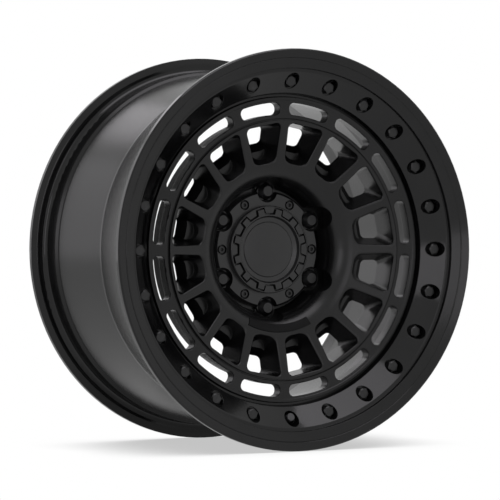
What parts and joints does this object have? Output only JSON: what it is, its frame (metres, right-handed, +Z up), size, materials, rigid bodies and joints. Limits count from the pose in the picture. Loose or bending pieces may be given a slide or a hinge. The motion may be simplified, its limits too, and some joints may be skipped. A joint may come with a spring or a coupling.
{
  "type": "car wheel",
  "caption": "Black cast off-road car wheel with a bolted-look outer ring, slotted and windowed disc, centre cap, lug nuts and tyre valve.",
  "frame": {"origin": "centre of the hub mounting face, on the axle line", "axes": "+Y along the axle towards the vehicle, -Y is the wheel's open front, +Z up"},
  "size_m": [0.4728, 0.25, 0.4728],
  "materials": {
    "black_alloy": "satin black paint, glossier on the ring and lips",
    "black_steel": "black coated steel",
    "cap_plastic": "satin black moulded plastic",
    "valve_rubber": "matte black rubber",
    "valve_brass": "plain turned brass",
    "valve_cap_plastic": "moulded black plastic"
  },
  "bodies": {
    "root": {"wheel": "black_alloy", "ring_bolts": "black_steel", "lug_nuts": "black_steel", "cap_base": "cap_plastic", "cap_insert": "cap_plastic", "cap_screws": "black_steel", "valve_body": "valve_rubber", "valve_stem": "valve_brass", "valve_core": "valve_brass", "valve_cap": "valve_cap_plastic"}
  },
  "joints": []
}
